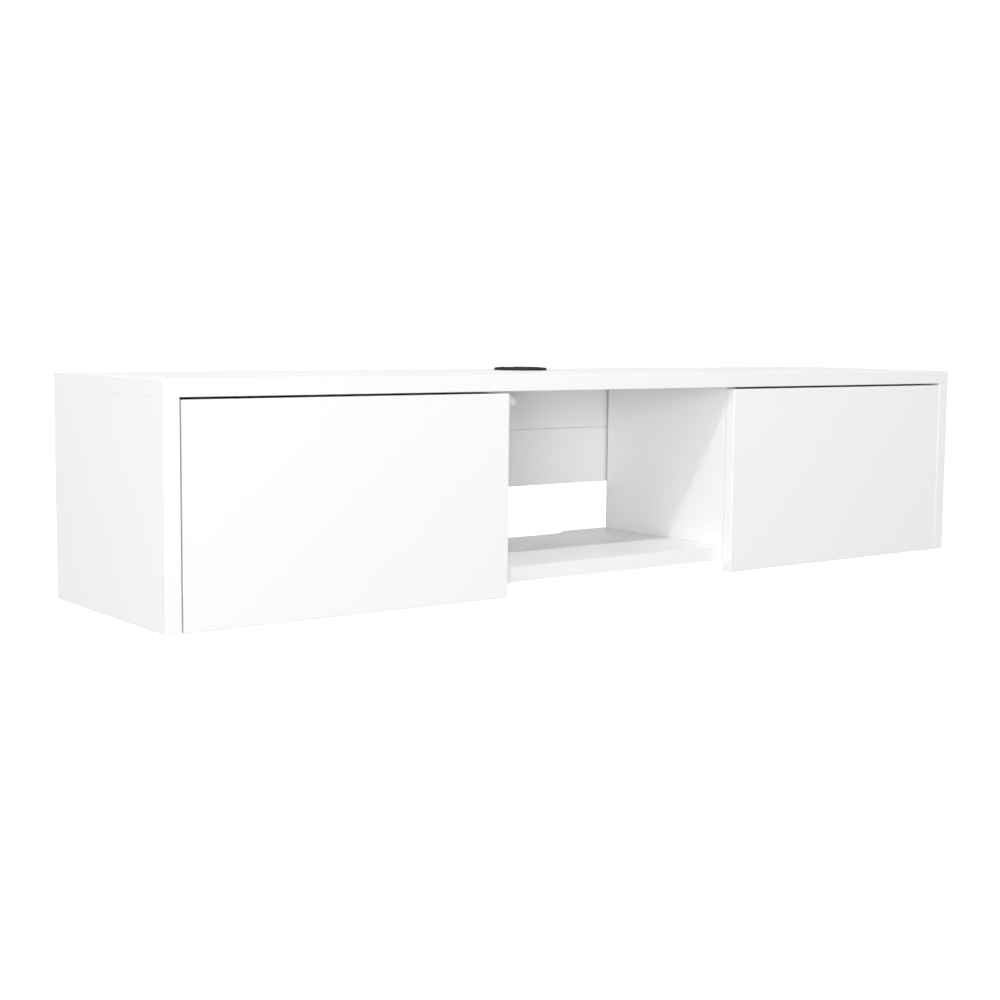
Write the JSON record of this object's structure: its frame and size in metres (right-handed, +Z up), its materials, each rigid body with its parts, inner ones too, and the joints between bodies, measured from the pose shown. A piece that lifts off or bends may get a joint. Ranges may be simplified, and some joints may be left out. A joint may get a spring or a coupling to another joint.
{
  "type": "wall-mounted tv stand",
  "caption": "Wall-hung low television cabinet with flat doors beside an open middle bay, a round cable outlet in the top and a hooked wall rail.",
  "frame": {"origin": "middle wall screw hole, on the wall rail's back face, which lies on the wall", "axes": "+X to the right seen from the front, +Y into the wall, +Z up; the doors face -Y"},
  "size_m": [1.22, 0.278, 0.26],
  "materials": {
    "white_melamine": "satin white melamine",
    "hardboard": "white-faced hardboard",
    "nickel_steel": "nickel plated",
    "cast_zinc": "die-cast zinc",
    "black_plastic": "fine grained black",
    "beech": "fluted beech",
    "clear_bumper": "clear soft polyurethane",
    "magnet_case": "white moulded case"
  },
  "bodies": {
    "wall_mount": {"wall_rail": "white_melamine"},
    "cabinet": {"top_panel": "white_melamine", "bottom_panel": "white_melamine", "left_side_panel": "white_melamine", "right_side_panel": "white_melamine", "left_divider": "white_melamine", "right_divider": "white_melamine", "hanging_rail": "white_melamine", "left_back_panel": "hardboard", "right_back_panel": "hardboard", "left_upper_hinge_arm": "nickel_steel", "left_upper_hinge_plate": "nickel_steel", "left_lower_hinge_arm": "nickel_steel", "left_lower_hinge_plate": "nickel_steel", "left_magnetic_catch": "magnet_case", "right_upper_hinge_arm": "nickel_steel", "right_upper_hinge_plate": "nickel_steel", "right_lower_hinge_arm": "nickel_steel", "right_lower_hinge_plate": "nickel_steel", "right_magnetic_catch": "magnet_case", "plate_screws": "nickel_steel", "catch_screws": "nickel_steel", "cam_bolts": "nickel_steel", "divider_screws": "nickel_steel", "rail_screws": "nickel_steel", "back_panel_nails": "nickel_steel", "cam_locks": "cast_zinc", "wood_dowels": "beech", "grommet_liner": "black_plastic"},
    "left_links": {"left_upper_hinge_link": "nickel_steel", "left_lower_hinge_link": "nickel_steel"},
    "left_leaf": {"left_door": "white_melamine", "left_upper_hinge_cup": "nickel_steel", "left_lower_hinge_cup": "nickel_steel", "left_hinge_pins": "nickel_steel", "left_cup_screws": "nickel_steel", "left_strike_plate": "nickel_steel", "left_strike_screw": "nickel_steel", "left_door_bumpers": "clear_bumper"},
    "right_links": {"right_upper_hinge_link": "nickel_steel", "right_lower_hinge_link": "nickel_steel"},
    "right_leaf": {"right_door": "white_melamine", "right_upper_hinge_cup": "nickel_steel", "right_lower_hinge_cup": "nickel_steel", "right_hinge_pins": "nickel_steel", "right_cup_screws": "nickel_steel", "right_strike_plate": "nickel_steel", "right_strike_screw": "nickel_steel", "right_door_bumpers": "clear_bumper"},
    "outlet_cap": {"grommet_cap": "black_plastic"}
  },
  "joints": [
    {"name": "cabinet_lift", "type": "slide", "parent": "wall_mount", "child": "cabinet", "axis": [0, 0, 1], "range_m": [0, 0.03]},
    {"name": "left_links_slide", "type": "slide", "parent": "cabinet", "child": "left_links", "axis": [0, -1, 0], "range_m": [0, 0.041]},
    {"name": "left_door_swing", "type": "hinge", "parent": "left_links", "child": "left_leaf", "pos_m": [-0.5675, -0.2685, -0.005], "axis": [0, 0, -1], "range_deg": [0, 95]},
    {"name": "right_links_slide", "type": "slide", "parent": "cabinet", "child": "right_links", "axis": [0, -1, 0], "range_m": [0, 0.041]},
    {"name": "right_door_swing", "type": "hinge", "parent": "right_links", "child": "right_leaf", "pos_m": [0.5675, -0.2685, -0.005], "axis": [0, 0, 1], "range_deg": [0, 95]},
    {"name": "outlet_cap_lift", "type": "slide", "parent": "cabinet", "child": "outlet_cap", "axis": [0, 0, 1], "range_m": [0, 0.03]}
  ],
  "couplings": [
    {"joint": "left_links_slide", "follows": "left_door_swing", "m_per_rad": 0.0241},
    {"joint": "right_links_slide", "follows": "right_door_swing", "m_per_rad": 0.0241}
  ]
}
